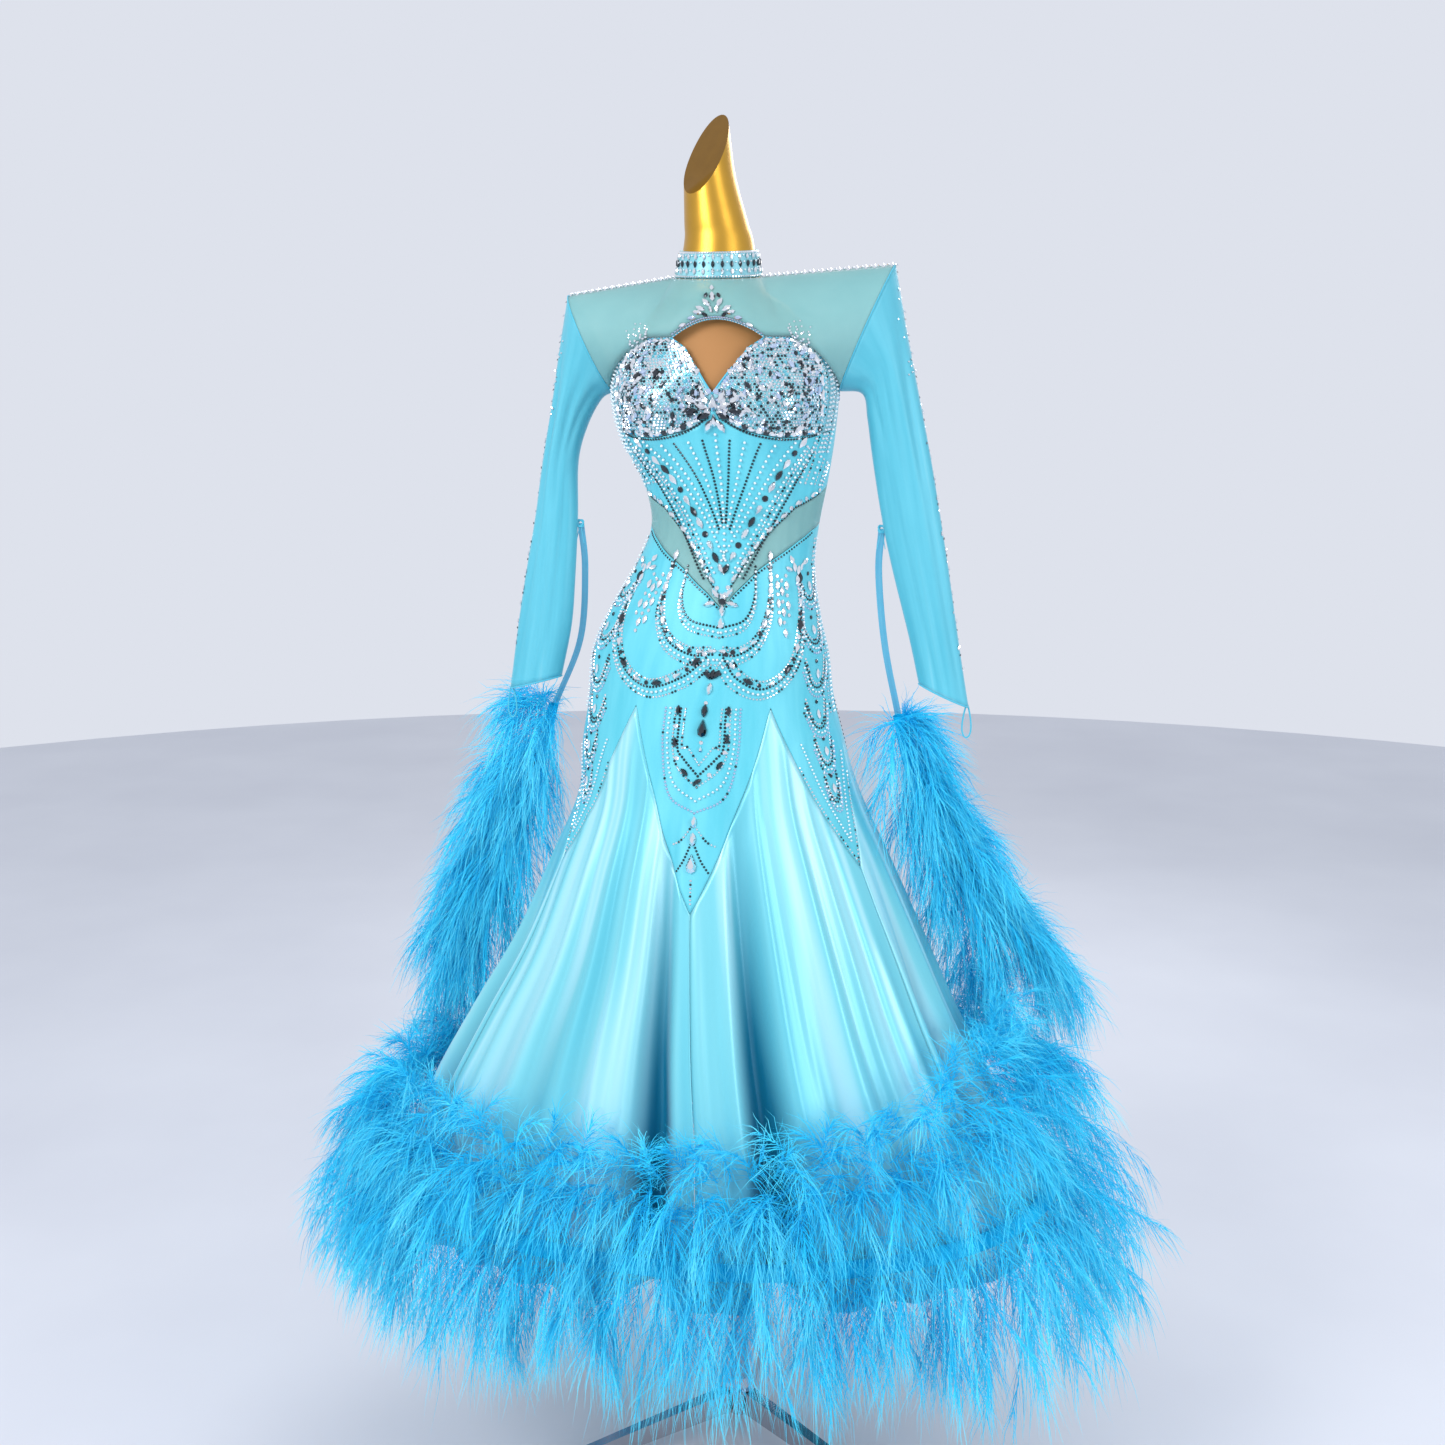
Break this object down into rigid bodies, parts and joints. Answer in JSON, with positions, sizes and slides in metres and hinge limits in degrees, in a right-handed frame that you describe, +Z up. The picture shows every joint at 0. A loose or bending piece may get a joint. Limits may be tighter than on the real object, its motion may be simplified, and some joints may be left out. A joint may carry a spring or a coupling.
{
  "type": "ballroom gown on a limbless dress form with stand",
  "caption": "Feather-trimmed ballroom gown with mesh yoke, encrusted bodice and godet skirt, standing on a limbless dress form with a tripod stand.",
  "frame": {"origin": "floor under the pole, which stands in the middle of the tripod and of the gown's outline", "axes": "+Z up along the pole, -Y towards the gown's front, +X towards the wearer's left"},
  "size_m": [1.2341, 0.9188, 1.84],
  "materials": {
    "gold_paint": "glossy gold paint",
    "chrome": "polished",
    "satin": "satin with a strong vertical sheen",
    "stones": "cloth covered with glass stones",
    "teal_mesh": "sheer mesh",
    "blue_mesh": "sheer mesh and chiffon",
    "feathers": "ostrich feathers, matt"
  },
  "bodies": {
    "root": {"form_torso": "gold_paint", "stand_pole": "chrome", "leg_1": "chrome", "leg_2": "chrome", "leg_3": "chrome", "collar": "stones", "cup_left": "stones", "cup_right": "stones", "bodice_front": "satin", "bodice_back": "satin", "mesh_inset_left": "teal_mesh", "mesh_inset_right": "teal_mesh", "hip_yoke_front": "satin", "hip_yoke_back": "satin", "godet_back_right": "satin", "godet_side_right": "satin", "godet_front_right": "satin", "godet_front_left": "satin", "godet_side_left": "satin", "godet_back_left": "satin", "underskirt": "blue_mesh", "yoke_front": "teal_mesh", "yoke_back": "teal_mesh", "sleeve_left": "blue_mesh", "sleeve_right": "blue_mesh", "float_left": "blue_mesh", "float_right": "blue_mesh", "float_boa_left": "feathers", "float_boa_right": "feathers", "hem_boa": "feathers"}
  },
  "joints": []
}
